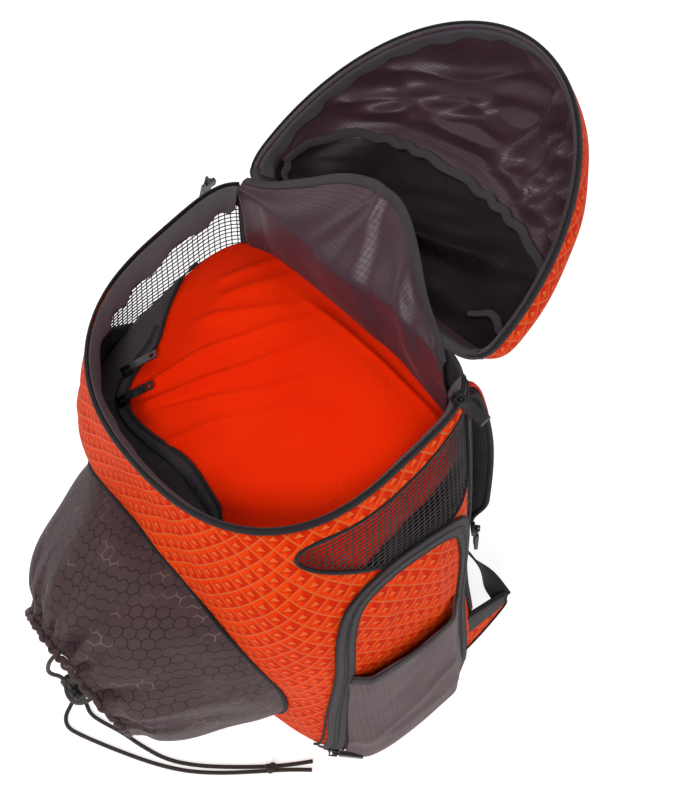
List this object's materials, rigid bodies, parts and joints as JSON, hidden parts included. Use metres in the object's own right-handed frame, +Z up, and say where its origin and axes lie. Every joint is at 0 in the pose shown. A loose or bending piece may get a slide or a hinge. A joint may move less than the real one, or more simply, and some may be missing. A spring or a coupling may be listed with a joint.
{
  "type": "daypack",
  "caption": "Open daypack with a domed zip lid, ball pocket with drawcord mouth, mesh windows, zipped side pockets with bottle pouches, and shoulder straps.",
  "frame": {"origin": "middle of the underside of the base", "axes": "+Z up, -Y the front with the ball pocket, +Y the back panel, +X the right side as worn"},
  "size_m": [0.3566, 0.5555, 0.5704],
  "materials": {
    "orange_ripstop": "woven polyester with a fine printed trellis, satin",
    "grey_fabric": "matt woven polyester",
    "window_mesh": "open coarse net",
    "zip_tape": "woven tape with a black coil",
    "lining": "satin lining",
    "orange_knit": "brushed warp knit",
    "pocket_fabric": "printed woven polyester",
    "hem_binding": "folded binding",
    "pouch_fabric": "fine ripstop",
    "strap_fabric": "foam covered with matt polyester",
    "webbing": "ribbed webbing",
    "black_plastic": "moulded",
    "grey_metal": "dark enamel",
    "drawcord": "round braided cord"
  },
  "bodies": {
    "pack": {"front_panel": "orange_ripstop", "back_panel": "grey_fabric", "base_panel": "grey_fabric", "side_panel_right": "orange_ripstop", "mesh_window_right": "window_mesh", "side_panel_left": "orange_ripstop", "mesh_window_left": "window_mesh", "rim_zip": "zip_tape", "rim_facing": "grey_fabric", "back_sleeve": "lining", "divider_panel": "orange_knit", "divider_zip": "zip_tape", "side_pocket_right": "orange_ripstop", "side_zip_right": "zip_tape", "bottle_pouch_right": "pouch_fabric", "pouch_hem_right": "hem_binding", "side_pocket_left": "orange_ripstop", "side_zip_left": "zip_tape", "bottle_pouch_left": "pouch_fabric", "pouch_hem_left": "hem_binding", "ball_pocket_hem": "hem_binding", "ball_pocket": "pocket_fabric", "ball_well": "lining", "shoulder_strap_right": "strap_fabric", "back_pad_right": "strap_fabric", "strap_wing_right": "grey_fabric", "ladder_lock_right": "black_plastic", "strap_webbing_right": "webbing", "shoulder_strap_left": "strap_fabric", "back_pad_left": "strap_fabric", "strap_wing_left": "grey_fabric", "ladder_lock_left": "black_plastic", "strap_webbing_left": "webbing", "haul_loop": "webbing", "back_zip": "zip_tape", "drawcord_left": "drawcord", "drawcord_right": "drawcord", "cord_knot": "drawcord", "cord_lock_barrel": "black_plastic"},
    "lid": {"lid_gusset": "orange_ripstop", "lid_top_panel": "orange_ripstop", "lid_zip": "zip_tape", "lid_lining": "lining", "hinge_flap": "lining"},
    "lid_right_slider": {"lid_right_slider": "grey_metal"},
    "lid_right_pull": {"lid_right_pull": "black_plastic"},
    "lid_left_slider": {"lid_left_slider": "grey_metal"},
    "lid_left_pull": {"lid_left_pull": "black_plastic"},
    "side_right_slider": {"side_right_slider": "grey_metal"},
    "side_right_pull": {"side_right_pull": "black_plastic"},
    "side_left_slider": {"side_left_slider": "grey_metal"},
    "side_left_pull": {"side_left_pull": "black_plastic"},
    "back_slider": {"back_slider": "grey_metal"},
    "back_pull": {"back_pull": "black_plastic"},
    "divider_rear_slider": {"divider_rear_slider": "grey_metal"},
    "divider_rear_pull": {"divider_rear_pull": "grey_metal"},
    "divider_front_slider": {"divider_front_slider": "grey_metal"},
    "divider_front_pull": {"divider_front_pull": "grey_metal"},
    "cord_lock_button": {"cord_lock_button": "black_plastic"}
  },
  "joints": [
    {"name": "lid_hinge", "type": "hinge", "parent": "pack", "child": "lid", "pos_m": [0, 0.091, 0.462], "axis": [1, 0, 0], "range_deg": [0, 162]},
    {"name": "lid_right_slide", "type": "slide", "parent": "pack", "child": "lid_right_slider", "axis": [0, -0.9748, -0.2233], "range_m": [0, 0.03]},
    {"name": "lid_right_pull_swing", "type": "hinge", "parent": "lid_right_slider", "child": "lid_right_pull", "pos_m": [0.1455, 0.07084, 0.46272], "axis": [0, -0.9748, -0.2233], "range_deg": [0, 80]},
    {"name": "lid_left_slide", "type": "slide", "parent": "pack", "child": "lid_left_slider", "axis": [-0.0867, -0.9711, -0.2224], "range_m": [0, 0.025]},
    {"name": "lid_left_pull_swing", "type": "hinge", "parent": "lid_left_slider", "child": "lid_left_pull", "pos_m": [-0.15369, 0.072, 0.46028], "axis": [0, 1, 0], "range_deg": [0, 80]},
    {"name": "side_right_slide", "type": "slide", "parent": "pack", "child": "side_right_slider", "axis": [0.3126, 0.0851, 0.946], "range_m": [0, 0.03]},
    {"name": "side_right_pull_swing", "type": "hinge", "parent": "side_right_slider", "child": "side_right_pull", "pos_m": [0.14617, -0.09134, 0.05922], "axis": [-0.2349, 0, -0.972], "range_deg": [0, 150]},
    {"name": "side_left_slide", "type": "slide", "parent": "pack", "child": "side_left_slider", "axis": [-0.0568, 0.0993, 0.9934], "range_m": [-0.03, 0.03]},
    {"name": "side_left_pull_swing", "type": "hinge", "parent": "side_left_slider", "child": "side_left_pull", "pos_m": [-0.16927, -0.06965, 0.2318], "axis": [0.0428, 0, -0.9991], "range_deg": [0, 150]},
    {"name": "back_slide", "type": "slide", "parent": "pack", "child": "back_slider", "axis": [0.0837, 0, 0.9965], "range_m": [-0.03, 0.03]},
    {"name": "back_pull_swing", "type": "hinge", "parent": "back_slider", "child": "back_pull", "pos_m": [0.14696, 0.08779, 0.26177], "axis": [0.8075, -0.5899, 0], "range_deg": [0, 150]},
    {"name": "divider_rear_slide", "type": "slide", "parent": "pack", "child": "divider_rear_slider", "axis": [-0.6565, 0.7337, 0.1748], "range_m": [0, 0.02]},
    {"name": "divider_rear_pull_swing", "type": "hinge", "parent": "divider_rear_slider", "child": "divider_rear_pull", "pos_m": [-0.11506, -0.06194, 0.36539], "axis": [0.8328, -0.5518, -0.0444], "range_deg": [0, 60]},
    {"name": "divider_front_slide", "type": "slide", "parent": "pack", "child": "divider_front_slider", "axis": [0.8917, -0.4507, -0.0408], "range_m": [0, 0.025]},
    {"name": "divider_front_pull_swing", "type": "hinge", "parent": "divider_front_slider", "child": "divider_front_pull", "pos_m": [-0.09488, -0.08011, 0.36123], "axis": [0.829, -0.5493, -0.1048], "range_deg": [0, 50]},
    {"name": "cord_lock_press", "type": "slide", "parent": "pack", "child": "cord_lock_button", "axis": [-1, 0, 0], "range_m": [0, 0.005], "stiffness_N_per_m": 300, "springref_m": -0.004}
  ]
}
